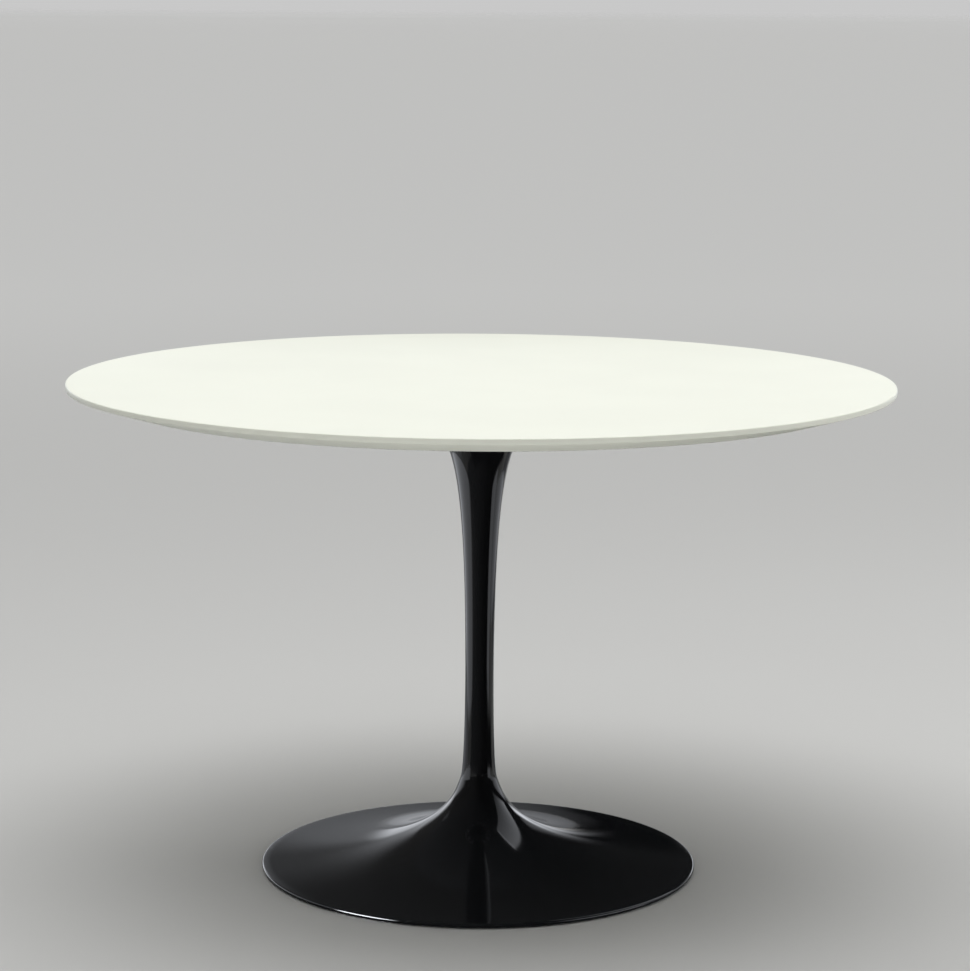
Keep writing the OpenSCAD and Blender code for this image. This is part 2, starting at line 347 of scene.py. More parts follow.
@dataclass(frozen=True)
class BlackLacquer(Finish):
    """Gloss black lacquer over a casting that was ground smooth.

    rim_r says where the foot's rim is, because shoes and mops scuff it there, and haze is the
    lighter tone of the foot's low flat: partly fine settled dust, partly painted sheen that stands
    in for the dim light the flat reflects.
    """

    rim_r: float = 0.3
    # Partly dust, partly painted sheen: the lighter tone given to the foot's low flat.
    haze: Triple = (0.0112, 0.0121, 0.0138)
    peel: float = 0.010 * MM
    wave: float = 0.05 * MM

    def wire(self, kit: ShaderKit) -> None:
        """Adds the casting's wave, orange peel, hairlines, dust, scuffs and a painted sheen."""
        _, _, height = kit.axes()
        flat = kit.step(height, 0.16, 0.02)
        near_rim = kit.step(kit.radius(), self.rim_r - 0.030, self.rim_r - 0.002)
        dust = (
            kit.specks(150.0, 0.11, 0.16) * flat * 0.5 + kit.specks(46.0, 0.05, 0.10) * flat * 0.5
        )
        hairline = kit.step(kit.noise(150.0, 1.0, 0.4, kit.polar(1.0, 0.09, 1.0)), 0.66, 0.74)
        swirl = kit.step(
            kit.noise(210.0, 1.0, 0.4, kit.stretched((1.0, 0.05, 0.4), 0.9)), 0.70, 0.78
        )
        scuff = near_rim * kit.step(
            kit.noise(55.0, 5.0, 0.7, kit.polar(3.0, 0.35, 3.0)), 0.56, 0.70
        )
        # Painted sheen: low down the black is mixed towards haze, a lighter tone that is partly
        # settled dust and partly stands in for the dim light reflected off the foot's flat.
        dust_film_and_sheen = kit.step(kit.noise(7.0, 4.0, 0.55), 0.35, 0.75) * flat
        dust_and_painted_sheen = kit.tint(flat * (0.75 + 0.25 * dust_film_and_sheen), self.colour, self.haze)
        worn = kit.tint(scuff * 0.35 + dust * 0.55, dust_and_painted_sheen, (0.09, 0.09, 0.092))
        ground = kit.relief(kit.noise(9.0, 1.0, 0.3), self.wave)
        peel = kit.relief(kit.noise(420.0, 2.0, 0.35) + dust * 0.5, self.peel, ground)
        kit.surface({
            "Base Color": worn,
            "Roughness": (
                self.rough + hairline * 0.02 + swirl * 0.02 + dust_film_and_sheen * 0.03 + scuff * 0.16
                + dust * 0.2
            ),
            "Normal": peel,
            "Specular IOR Level": 0.30,
        })


@dataclass(frozen=True)
class CastMetal(Finish):
    """Sand-cast aluminium: a grainy skin, and turned faces at the heights given in faces."""

    faces: tuple[float, ...] = ()
    grain: float = 0.12 * MM

    def wire(self, kit: ShaderKit) -> None:
        """Adds the sand's grain, flow marks, and fine turned rings on the machined faces."""
        _, _, height = kit.axes()
        machined = kit.step(abs(height - self.faces[0]), 0.0006, 0.0002)
        for face in self.faces[1:]:
            machined = machined.greatest(kit.step(abs(height - face), 0.0006, 0.0002))
        rings = kit.noise(1.0, 2.0, 0.6, kit.polar(3500.0, 0.6, 1.0))
        sand = kit.noise(700.0, 3.0, 0.7) + 0.6 * kit.noise(220.0, 2.0, 0.6)
        flow = kit.step(kit.noise(26.0, 4.0, 0.6), 0.35, 0.7)
        skin = kit.tint(flow, self.shade(0.82), self.shade(1.05))
        bright = kit.tint(rings, self.shade(1.25), self.shade(1.6))
        cast = kit.relief(sand * (1 - machined), self.grain)
        kit.surface({
            "Base Color": kit.tint(machined, skin, bright),
            "Metallic": 1.0,
            "Roughness": self.rough + 0.08 * flow - machined * 0.24 + machined * rings * 0.08,
            "Normal": kit.relief(rings * machined, 0.01 * MM, cast),
        })


@dataclass(frozen=True)
class Metal(Finish):
    """Turned or plated metal.

    cloud is how far the tone wanders, turned how deep the tool marks are, and tarnish the colour
    that gathers in patches.
    """

    cloud: float = 0.12
    turned: float = 0.006 * MM
    tarnish: Triple = (0.25, 0.24, 0.22)

    def wire(self, kit: ShaderKit) -> None:
        """Adds clouds, tarnished patches and tool marks that run round the table's axis."""
        cloud = kit.noise(90.0, 4.0, 0.6)
        patch = kit.step(kit.noise(240.0, 4.0, 0.65), 0.60, 0.78) * 0.5
        marks = kit.noise(1.0, 2.0, 0.5, kit.polar(2600.0, 1.5, 2600.0))
        tone = kit.tint(cloud, self.shade(1.0 - self.cloud), self.shade(1.0 + self.cloud))
        kit.surface({
            "Base Color": kit.tint(patch, tone, self.tarnish),
            "Metallic": 1.0,
            "Roughness": self.rough + 0.12 * (cloud - 0.5) + 0.18 * patch + 0.06 * marks,
            "Normal": kit.relief(marks, self.turned),
        })


@dataclass(frozen=True)
class Moulded(Finish):
    """Rubber or plastic from a mould: a matt spark-eroded skin, scuffed where it is rubbed."""

    grain: float = 0.03 * MM

    def wire(self, kit: ShaderKit) -> None:
        """Adds the mould's grain and dusty scuffs."""
        scuff = kit.step(kit.noise(120.0, 4.0, 0.65), 0.55, 0.75)
        kit.surface({
            "Base Color": kit.tint(scuff * 0.6, self.colour, self.shade(2.2)),
            "Roughness": self.rough + 0.1 * scuff,
            "Normal": kit.relief(kit.noise(1600.0, 2.0, 0.6), self.grain),
            "Specular IOR Level": 0.35,
        })


class Finishes(Enum):
    """Every finish on the table."""

    LAMINATE = SatinSheet("satin_white_laminate", "white_laminate", (0.880, 0.896, 0.795), 0.36)
    # Painted shade: the edging is a little darker than the laminate and the lacquer, so the strip's
    # nose renders as dark as the shaded band of the edge.
    EDGING = SatinSheet(
        "satin_white_edging", "white_edging", (0.850, 0.864, 0.765), 0.34, 0.008 * MM, 0.04
    )
    LACQUER = SprayedWhite("sprayed_white_lacquer", "lacquered_board", (0.880, 0.894, 0.790), 0.34)
    BACKING = SatinSheet(
        "grey_backing_laminate", "backing_laminate", (0.620, 0.620, 0.580), 0.5, 0.02 * MM, 0.06
    )
    BLACK = BlackLacquer(
        "gloss_black_lacquer", "black_lacquer", (0.0045, 0.0046, 0.0052), 0.06, 0.31825
    )
    CAST = CastMetal(
        "sand_cast_aluminium", "cast_aluminium", (0.46, 0.47, 0.48), 0.5, (0.6890, 0.6640, 0.6870)
    )
    ZINC = Metal("bright_zinc_plate", "zinc_fastener", (0.60, 0.62, 0.65), 0.30)
    STEEL = Metal(
        "turned_steel", "machined_steel", (0.42, 0.42, 0.43), 0.34, 0.10, 0.008 * MM,
        (0.20, 0.15, 0.11),
    )
    BRASS = Metal(
        "turned_brass", "brass_insert", (0.72, 0.50, 0.22), 0.28, 0.08, 0.006 * MM,
        (0.35, 0.22, 0.10),
    )
    RUBBER = Moulded("gasket_rubber", "gasket_rubber", (0.020, 0.020, 0.021), 0.62)
    PLASTIC = Moulded("moulded_glide_plastic", "glide_plastic", (0.014, 0.014, 0.015), 0.48)


# --- Shapes ---


def spot(radius: float, height: float) -> Vector:
    """Gives a point of an outline, from millimetres."""
    return Vector((radius * MM, 0.0, height * MM))


def trace(outline: Outline) -> Line:
    """Gives an outline's points. It holds pairs of radius and height, and finished lines."""
    lines = (part if isinstance(part, list) else [spot(*part)] for part in outline)
    return [point for line in lines for point in line]


def curve(first: Vector, leave: Vector, arrive: Vector, last: Vector, steps: int) -> Line:
    """Gives points along a cubic curve, both ends among them."""
    return interpolate_bezier(first, leave, arrive, last, steps + 1)


def arc(middle: Pair, radius: float, start: float, end: float, steps: int) -> Line:
    """Gives points round a middle, between two angles in degrees from +X towards +Z."""
    angles = (radians(start + (end - start) * i / steps) for i in range(steps + 1))
    return [spot(*middle) + radius * MM * Vector((cos(a), 0.0, sin(a))) for a in angles]


def beside(line: Line, distance: float) -> Line:
    """Moves a line sideways by millimetres, to its left as seen from its first point."""
    moved = []
    for before, here, after in zip([line[0], *line], line, [*line[1:], line[-1]]):
        along = (after - before).normalized()
        moved.append(here + distance * MM * Vector((-along.z, 0.0, along.x)))
    return moved


def outward(shape: Shape) -> Shape:
    """Turns every face of a shape outwards."""
    bmesh.ops.recalc_face_normals(shape, faces=shape.faces[:])
    return shape


def revolve(
    outline: Outline, steps: int, closed: bool = True, turns: int = 1, climb: float = 0.0
) -> Shape:
    """Spins an outline round the table's axis.

    Args:
        outline: Its points. Those on the axis become poles.
        steps: How many straight pieces a circle has.
        closed: Whether the last point joins the first.
        turns: How many times it goes round.
        climb: How far it rises in a turn, in millimetres.

    Returns:
        The shape. Unless it climbs, its seam and poles are closed and its faces turned outwards.
    """
    shape = bmesh.new()
    points = [shape.verts.new(point) for point in trace(outline)]
    after = points[1:] + points[:1] if closed else points[1:]
    edges = [shape.edges.new(pair) for pair in zip(points, after)]
    bmesh.ops.spin(
        shape, geom=points + edges, cent=(0, 0, 0), axis=(0, 0, 1), dvec=(0, 0, climb * MM / steps),
        angle=FULL_TURN * turns, steps=steps * turns, use_merge=not climb,
    )
    bmesh.ops.remove_doubles(shape, verts=shape.verts[:], dist=WELD)
    return shape if climb else outward(shape)


def ease(shape: Shape, width: float, segments: int = 2, sharper: float = 30.0) -> Shape:
    """Rounds every edge that is sharper than an angle.

    Args:
        shape: The shape to change.
        width: How far from the edge the rounding starts, in millimetres.
        segments: How many faces make the rounding.
        sharper: The angle between faces in degrees.

    Returns:
        The same shape.
    """
    limit = radians(sharper)
    sharp = [edge for edge in shape.edges if edge.is_manifold and edge.calc_face_angle() > limit]
    bmesh.ops.bevel(
        shape, geom=sharp, offset=width * MM, offset_type="OFFSET", affect="EDGES",
        segments=segments, profile=0.5, clamp_overlap=True, material=-1,
    )
    return shape


def everything(shape: Shape) -> list[Any]:
    """Gives a shape's vertices, edges and faces."""
    return shape.verts[:] + shape.edges[:] + shape.faces[:]


def corners(geometry: list[Any]) -> list[bmesh.types.BMVert]:
    """Picks out the vertices."""
    return [item for item in geometry if isinstance(item, bmesh.types.BMVert)]


def plank(outline: Outline, thickness: float) -> Shape:
    """Makes a flat solid from an outline, as thick to either side of it.

    Args:
        outline: The corners in order.
        thickness: The whole thickness along Y in millimetres.

    Returns:
        The solid.
    """
    shape = bmesh.new()
    face = shape.faces.new([shape.verts.new(point) for point in trace(outline)])
    bmesh.ops.translate(shape, verts=face.verts[:], vec=(0, -thickness * MM / 2, 0))
    grown = bmesh.ops.extrude_face_region(shape, geom=[face])["geom"]
    bmesh.ops.translate(shape, verts=corners(grown), vec=(0, thickness * MM, 0))
    return outward(shape)


def turn(shape: Shape, verts: list[bmesh.types.BMVert], angle: float) -> None:
    """Turns some of a shape's vertices round the table's axis."""
    bmesh.ops.rotate(shape, verts=verts, cent=(0, 0, 0), matrix=Matrix.Rotation(angle, 3, "Z"))


def around(shape: Shape, count: int, start: float = 0.0) -> Shape:
    """Repeats a shape evenly round the table's axis.

    Args:
        shape: The first one, which is used up.
        count: How many there are in all.
        start: The angle in degrees by which the first is turned.

    Returns:
        All of them in one shape.
    """
    turn(shape, shape.verts[:], radians(start))
    first = everything(shape)
    for i in range(1, count):
        copy = bmesh.ops.duplicate(shape, geom=first)["geom"]
        turn(shape, corners(copy), FULL_TURN * i / count)
    return shape


def shift(shape: Shape, across: float) -> Shape:
    """Moves a shape along X by millimetres."""
    bmesh.ops.translate(shape, verts=shape.verts[:], vec=(across * MM, 0, 0))
    return shape


def peg(radius: float, low: float, high: float, away: float = 0.0, sides: int = 48) -> Shape:
    """Makes an upright cylinder.

    Args:
        radius: Its radius in millimetres.
        low: Where it starts.
        high: Where it ends.
        away: How far its middle is from the table's axis, along X.
        sides: How many straight pieces its circle has.

    Returns:
        The solid.
    """
    bottom, top = low * MM, high * MM
    shape = bmesh.new()
    bmesh.ops.create_cone(
        shape, cap_ends=True, segments=sides, radius1=radius * MM, radius2=radius * MM,
        depth=top - bottom, matrix=Matrix.Translation((away * MM, 0, (top + bottom) / 2)),
    )
    return shape


def as_mesh(shape: Shape, name: str) -> bpy.types.Mesh:
    """Turns a shape into a mesh of that name, and frees the shape."""
    mesh = bpy.data.meshes.new(name)
    shape.to_mesh(mesh)
    shape.free()
    return mesh


def put(name: str, data: bpy.types.ID) -> Piece:
    """Puts a mesh, lamp or lens into the scene as a new object."""
    piece = bpy.data.objects.new(name, data)
    bpy.context.scene.collection.objects.link(piece)
    return piece


def hide(piece: Piece, *rays: str) -> None:
    """Hides an object from these kinds of ray."""
    for ray in rays:
        setattr(piece, "visible_" + ray, False)


class Join(Enum):
    """How one solid is joined with another."""

    ADD = "UNION"
    CUT = "DIFFERENCE"
    KEEP = "INTERSECT"


def combine(base: Shape, *steps: tuple[Join, Shape]) -> Shape:
    """Adds solids to a solid, or cuts them from it, one after another.

    Args:
        base: The solid to start from, which is used up.
        steps: How each other solid is joined with it, and the solid, which is used up too.

    Returns:
        The solid that comes out.
    """
    helpers = [put("base", as_mesh(base, "base"))]
    for how, other in steps:
        tool = put("tool", as_mesh(other, "tool"))
        modifier = helpers[0].modifiers.new("join", "BOOLEAN")
        modifier.operation = how.value
        modifier.solver = "EXACT"
        modifier.object = tool
        helpers.append(tool)
    bpy.context.view_layer.update()
    joined = bmesh.new()
    joined.from_object(helpers[0], bpy.context.evaluated_depsgraph_get())
    for helper in helpers:
        mesh = helper.data
        bpy.data.objects.remove(helper)
        bpy.data.meshes.remove(mesh)
    bmesh.ops.remove_doubles(joined, verts=joined.verts[:], dist=SEAM)
    return joined


def thread(radius: float, pitch: float, low: float, high: float, steps: int = 36) -> Shape:
    """Makes a bar with a screw thread and flat ends.

    Args:
        radius: The thread's outer radius in millimetres.
        pitch: How far apart its turns are.
        low: Where the bar starts.
        high: Where it ends.
        steps: How many straight pieces one turn has.

    Returns:
        The closed bar.
    """
    root = radius - 0.6 * pitch
    start = low - 1.5 * pitch
    turns = ceil((high - low) / pitch) + 3
    tooth = ((root, 0.0), (root, 0.08), (radius, 0.44), (radius, 0.56), (root, 0.92), (root, 1.0))
    shape = revolve(
        [(out, start + share * pitch) for out, share in tooth], steps, False, turns, pitch
    )
    for height, above in ((low, True), (high, False)):
        bmesh.ops.bisect_plane(
            shape, geom=everything(shape), plane_co=(0, 0, height * MM), plane_no=(0, 0, 1),
            clear_inner=above, clear_outer=not above,
        )
    bmesh.ops.holes_fill(shape, edges=[edge for edge in shape.edges if edge.is_boundary], sides=0)
    return outward(shape)


def collar(inner: float, outer: float, low: float, high: float, soft: float = 0.3) -> Shape:
    """Makes a flat ring with softened corners round the axis. Millimetres."""
    near, far, bottom, top = inner + soft, outer - soft, low + soft, high - soft
    bends = ((near, bottom, 180), (far, bottom, 270), (far, top, 0), (near, top, 90))
    return revolve([arc((r, z), soft, start, start + 90, 3) for r, z, start in bends], 64)


def hexagon(across: float, low: float, high: float, bore: float) -> Shape:
    """Makes a six-sided nut with turned corners and a countersunk bore.

    Args:
        across: Its width across the flats in millimetres.
        low: Where it starts.
        high: Where it ends.
        bore: The radius of its bore.

    Returns:
        The nut, round the table's axis.
    """
    corner = across / sqrt(3)
    face = 0.47 * across
    fall = (corner - face) * tan(radians(30))
    turned: Outline = [
        (0, low), (face, low), (corner, low + fall), (corner, high - fall), (face, high), (0, high)
    ]
    sink: Outline = [
        (0, low - 1), (bore + 1, low - 1), (bore + 1, low), (bore, low + 1),
        (bore, high - 1), (bore + 1, high), (bore + 1, high + 1), (0, high + 1),
    ]
    prism = peg(corner - 0.01, low, high, 0.0, 6)
    return combine(
        prism, (Join.KEEP, revolve(turned, 96, False)), (Join.CUT, revolve(sink, 48, False))
    )


def add_piece(name: str, shape: Shape, finish: Finishes, stands_for: str) -> Piece:
    """Makes a finished piece of the table from a shape.

    Args:
        name: The piece's name.
        shape: Its shape, which is used up.
        finish: What it is finished in.
        stands_for: The CAD node that it replaces.

    Returns:
        The piece's object, at the origin.
    """
    for face in shape.faces:
        face.smooth = True
        face.material_index = 0
    for edge in shape.edges:
        edge.smooth = edge.is_manifold and edge.calc_face_angle() < CREASE
    piece = put(name, as_mesh(shape, name))
    piece.data.materials.append(finish.value.material())
    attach(piece, BODY)
    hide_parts(stands_for)
    return piece


def dress_node(node: str, finish: Finishes) -> Piece:
    """Gives a CAD node that stays in view its finish."""
    piece = frame["nodes"][node]
    piece.data.materials.clear()
    piece.data.materials.append(finish.value.material())
    return piece


# --- The table ---

Rows = Iterator[tuple[str, Shape, Finishes, str]]


class Assembly:
    """Pieces that are made together. bare holds the CAD nodes among them that stay in view."""

    bare: ClassVar[dict[str, Finishes]] = {}

    def pieces(self) -> Rows:
        """Makes each piece: its name, shape and finish, and the CAD node it stands for."""
        raise NotImplementedError

    def build(self) -> list[Piece]:
        """Builds the pieces in their finishes."""
        return [add_piece(*piece) for piece in self.pieces()]

    def dress(self) -> list[Piece]:
        """Gives the CAD nodes that stay in view their finishes."""
        return [dress_node(node, finish) for node, finish in self.bare.items()]


@dataclass
class Top(Assembly):
    """The round top: laminate, edge strip, bevelled board and backing sheet. Millimetres."""

    bare = {"threaded_inserts": Finishes.BRASS}

    radius: float = 592.5
    height: float = 720.0
    underside: float = 695.0
    edge_t: float = 2.0
    laminate_t: float = 1.2
    backing_t: float = 0.8
    nose_h: float = 7.5
    bevel_w: float = 60.0
    arris: float = 1.5
    heel: float = 0.5
    ring_step: float = 46.0
    insert_r: float = 6.05
    insert_play: float = 0.45
    insert_pcd: float = 250.0
    insert_top: float = 709.0
    inserts: int = 8
    steps: int = 288

    def __post_init__(self) -> None:
        """Works out where the bevel starts and how steep it is."""
        self.core_r = self.radius - self.edge_t
        self.core_top = self.height - self.laminate_t
        self.core_bottom = self.underside + self.backing_t
        self.bevel_r = self.radius - self.bevel_w
        self.rise = (self.height - self.nose_h - self.underside) / self.bevel_w
        self.glue_r = self.bevel_r + self.backing_t / self.rise
        self.nose_low = self.underside + (self.core_r - self.bevel_r) * self.rise

    def rings(self, radius: float, height: float) -> Line:
        """Splits a flat face into rings of about one width, from the axis outwards."""
        count = max(1, round(radius / self.ring_step))
        return [spot(radius * i / count, height) for i in range(count + 1)]

    def disc(self, low_r: float, low: float, high_r: float, high: float, *rim: Pair) -> Shape:
        """Gives a disc with rings on its lower and its upper face, and points on its rim."""
        return revolve([self.rings(low_r, low), *rim, self.rings(high_r, high)[::-1]], self.steps)

    def holes(self, radius: float, low: float, high: float) -> Shape:
        """Gives pegs where the inserts' holes are, to cut them with."""
        return around(peg(radius, low, high, self.insert_pcd / 2, 32), self.inserts)

    def strip(self) -> Shape:
        """Gives the edge strip, with its worn upper corner and a softened lower one."""
        nose = self.height - self.nose_h
        slant = degrees(atan(self.rise))
        heel = arc((self.radius - self.heel, nose + 0.72 * self.heel), self.heel, slant - 90, 0, 5)
        corner = arc((self.radius - self.arris, self.height - self.arris), self.arris, 0, 90, 8)
        return revolve(
            [(self.core_r, self.nose_low), heel, corner, (self.core_r, self.height)], self.steps
        )

    def board(self) -> Shape:
        """Gives the bevelled board with its blind holes."""
        rim = (self.core_r, self.nose_low)
        disc = self.disc(self.glue_r, self.core_bottom, self.core_r, self.core_top, rim)
        return combine(disc, (Join.CUT, self.holes(self.insert_r, self.underside, self.insert_top)))

    def sheet(self) -> Shape:
        """Gives the backing sheet, whose edge follows the bevel."""
        disc = self.disc(self.bevel_r, self.underside, self.glue_r, self.core_bottom)
        holes = self.holes(
            self.insert_r + self.insert_play, self.underside - 1, self.core_bottom + 1
        )
        return combine(disc, (Join.CUT, holes))

    def pieces(self) -> Rows:
        """Makes the laminate, the strip, the board and the backing sheet."""
        face = self.disc(self.core_r, self.core_top, self.core_r, self.height)
        yield "laminate_face", face, Finishes.LAMINATE, "top_laminate"
        yield "edge_strip", self.strip(), Finishes.EDGING, "edge_band"
        yield "bevelled_board", self.board(), Finishes.LACQUER, "top_core"
        yield "backing_laminate", self.sheet(), Finishes.BACKING, "backing_sheet"


@dataclass
class Pedestal(Assembly):
    """The one-piece casting: foot, stem and bell, and its glide ring. Millimetres."""

    bare = {"flange_gasket": Finishes.RUBBER, "locating_dowels": Finishes.STEEL}

    rim_r: float = 3.25
    rim_mid: Pair = (315.0, 4.75)
    rim_slope: float = 5.0
    flare_pull: Pair = (264.0, 36.5)
    neck: Pair = (26.7, 131.5)
    neck_lean: float = 20.5
    stem_pull: Pair = (15.0, 10.0)
    waist: Pair = (20.75, 275.0)
    trumpet_pull: Pair = (400.5, 74.0)
    bell: Pair = (92.0, 687.5)
    bell_lean: float = 29.0
    wall: float = 7.0
    floor_z: float = 1.5
    land_w: float = 14.0
    lip_w: float = 11.0
    boss_r: float = 34.0
    boss_h: float = 20.0
    seat_z: float = 40.0
    bore_r: float = 9.0
    hub_r: float = 38.0
    hollow_z: float = 627.5
    socket: Pair = (30.0, 663.0)
    pocket: Pair = (18.0, 653.0)
    pocket_h: float = 16.0
    core: Pair = (12.5, 26.0)
    core_z: Pair = (74.0, 619.0)
    groove: Pair = (293.25, 303.25)
    groove_top: float = 5.0
    rib_t: float = 6.0
    rib_line: tuple[Pair, ...] = ((120.0, 19.0), (230.0, 4.0), (288.75, 3.0))
    ribs: int = 8
    webs: int = 6
    web_toe: float = 50.0
    dowel_at: float = 60.0
    dowel_r: float = 4.0
    dowel_deep: float = 8.0
    dowel_wall: float = 5.0
    glide: Pair = (293.45, 303.05)
    glide_corner: float = 1.2
    steps: int = 192

    def __post_init__(self) -> None:
        """Works out the outer line, from the rim to the bell."""
        slope, lean, out = (radians(a) for a in (self.rim_slope, self.neck_lean, self.bell_lean))
        up_neck = Vector((-sin(lean), 0.0, cos(lean)))
        rim = spot(*self.rim_mid) + self.rim_r * MM * Vector((sin(slope), 0.0, cos(slope)))
        neck, waist, bell = spot(*self.neck), spot(*self.waist), spot(*self.bell)
        inward = Vector((-cos(slope), 0.0, sin(slope)))
        up_bell = Vector((sin(out), 0.0, cos(out)))
        up = Vector((0.0, 0.0, MM))
        flare_out, flare_in = (pull * MM for pull in self.flare_pull)
        self.flare = curve(rim, rim + flare_out * inward, neck - flare_in * up_neck, neck, 72)
        low_stem = curve(
            neck, neck + self.stem_pull[0] * MM * up_neck,
            waist - self.stem_pull[1] * up, waist, 20,
        )
        self.trumpet = curve(
            waist, waist + self.trumpet_pull[0] * up,
            bell - self.trumpet_pull[1] * MM * up_bell, bell, 64,
        )
        rounding = arc(self.rim_mid, self.rim_r, -90, 90 - self.rim_slope, 16)
        self.outer = [*rounding, *self.flare[1:], *low_stem[1:], *self.trumpet[1:]]

    def under_foot(self, depth: float, inner: float, outer: float) -> Line:
        """Gives the foot's line some millimetres inside the outer one, between two radii."""
        return [p for p in beside(self.flare, depth) if inner * MM < p.x < outer * MM]

    def inside_bell(self, low: float, most_r: float) -> Line:
        """Gives the bell's inner line above a height and inside a radius."""
        return [
            p for p in beside(self.trumpet, self.wall + 1) if p.z > low * MM and p.x < most_r * MM
        ]

    def shell(self) -> Shape:
        """Gives everything that is round about the axis, spun from one closed outline."""
        bell_r, bell_z = self.bell
        land_r = bell_r - self.land_w
        core_r, core_top_r = self.core
        core_low, core_high = self.core_z
        near, far = self.groove
        socket_r, socket_z = self.socket
        pocket_r, pocket_z = self.pocket
        bell_wall = self.inside_bell(self.hollow_z + 6, land_r)
        stem_wall = [
            p for p in self.inside_bell(self.waist[1], core_top_r) if p.x > (core_r + 0.5) * MM
        ]
        lip_r = near - self.lip_w
        ceiling = self.under_foot(self.wall, self.boss_r + 2, lip_r)
        bore_top = core_low - 8 + 8 * self.bore_r / core_r
        outline: Outline = [
            self.outer,
            (land_r, bell_z), (land_r, bell_wall[-1].z / MM + 2),
            bell_wall[::-1],
            (bell_wall[0].x / MM - 3, self.hollow_z + 2),
            (self.hub_r, self.hollow_z + 8), (self.hub_r, bell_z),
            (socket_r, bell_z), (socket_r, socket_z),
            (pocket_r, socket_z), (pocket_r, pocket_z - self.pocket_h),
            (core_top_r, core_high),
            stem_wall[::-1],
            (core_r, self.waist[1]), (core_r, core_low),
            (self.bore_r, bore_top), (self.bore_r, self.seat_z),
            (self.boss_r, self.seat_z), (self.boss_r, self.seat_z + self.boss_h),
            (self.boss_r + 1, ceiling[-1].z / MM - 3),
            ceiling[::-1],
            (lip_r, ceiling[0].z / MM - 0.5),
            (lip_r + 1, self.floor_z), (near, self.floor_z),
            (near, self.groove_top), (far, self.groove_top), (far, self.floor_z),
        ]
        return ease(revolve(outline, self.steps), 0.5)

    def rib(self) -> Shape:
        """Gives one rib under the foot, its upper edge buried in the wall."""
        buried = self.under_foot(self.wall / 2, self.boss_r, self.groove[0] - 3)[::4]
        root = self.boss_r - 2
        outline = [buried, (root, buried[-1].z / MM), (root, self.seat_z), *self.rib_line]
        return ease(plank(outline, self.rib_t), 0.9, 2, 50.0)

    def web(self) -> Shape:
        """Gives one web across the bell's hollow, both ends buried."""
        low, high = self.hollow_z, self.bell[1] - 8
        inner, outer = self.hub_r - 4, self.bell[0] - self.wall - 4
        slope = [
            (inner, low), (self.web_toe, low), (outer, high - 12), (outer, high), (inner, high),
        ]
        return plank(slope, self.rib_t)

    def dowel_pegs(self, more: float, low: float, high: float) -> Shape:
        """Gives the two pegs round the dowels' axes, wider than a dowel by more."""
        return around(peg(self.dowel_r + more, low, high, self.dowel_at), 2)

    def casting(self) -> Shape:
        """Gives the whole casting."""
        top = self.bell[1]
        return combine(
            self.shell(),
            (Join.ADD, around(self.rib(), self.ribs, 180 / self.ribs)),
            (Join.ADD, around(self.web(), self.webs)),
            (Join.ADD, self.dowel_pegs(self.dowel_wall, self.hollow_z, top)),
            (Join.CUT, self.dowel_pegs(0, top - self.dowel_deep, top + 1)),
        )

    def glide_ring(self) -> Shape:
        """Gives the plastic ring in the foot's groove, with a rounded foot."""
        inner, outer = self.glide
        soft = self.glide_corner
        left = arc((inner + soft, soft), soft, 180, 270, 6)
        right = arc((outer - soft, soft), soft, 270, 360, 6)
        return revolve(
            [(outer, self.groove_top), (inner, self.groove_top), left, right], self.steps
        )

    def pieces(self) -> Rows:
        """Makes the casting and the ring that it stands on."""
        yield "pedestal_casting", self.casting(), Finishes.BLACK, "pedestal"
        yield "foot_glide", self.glide_ring(), Finishes.PLASTIC, "glide_ring"


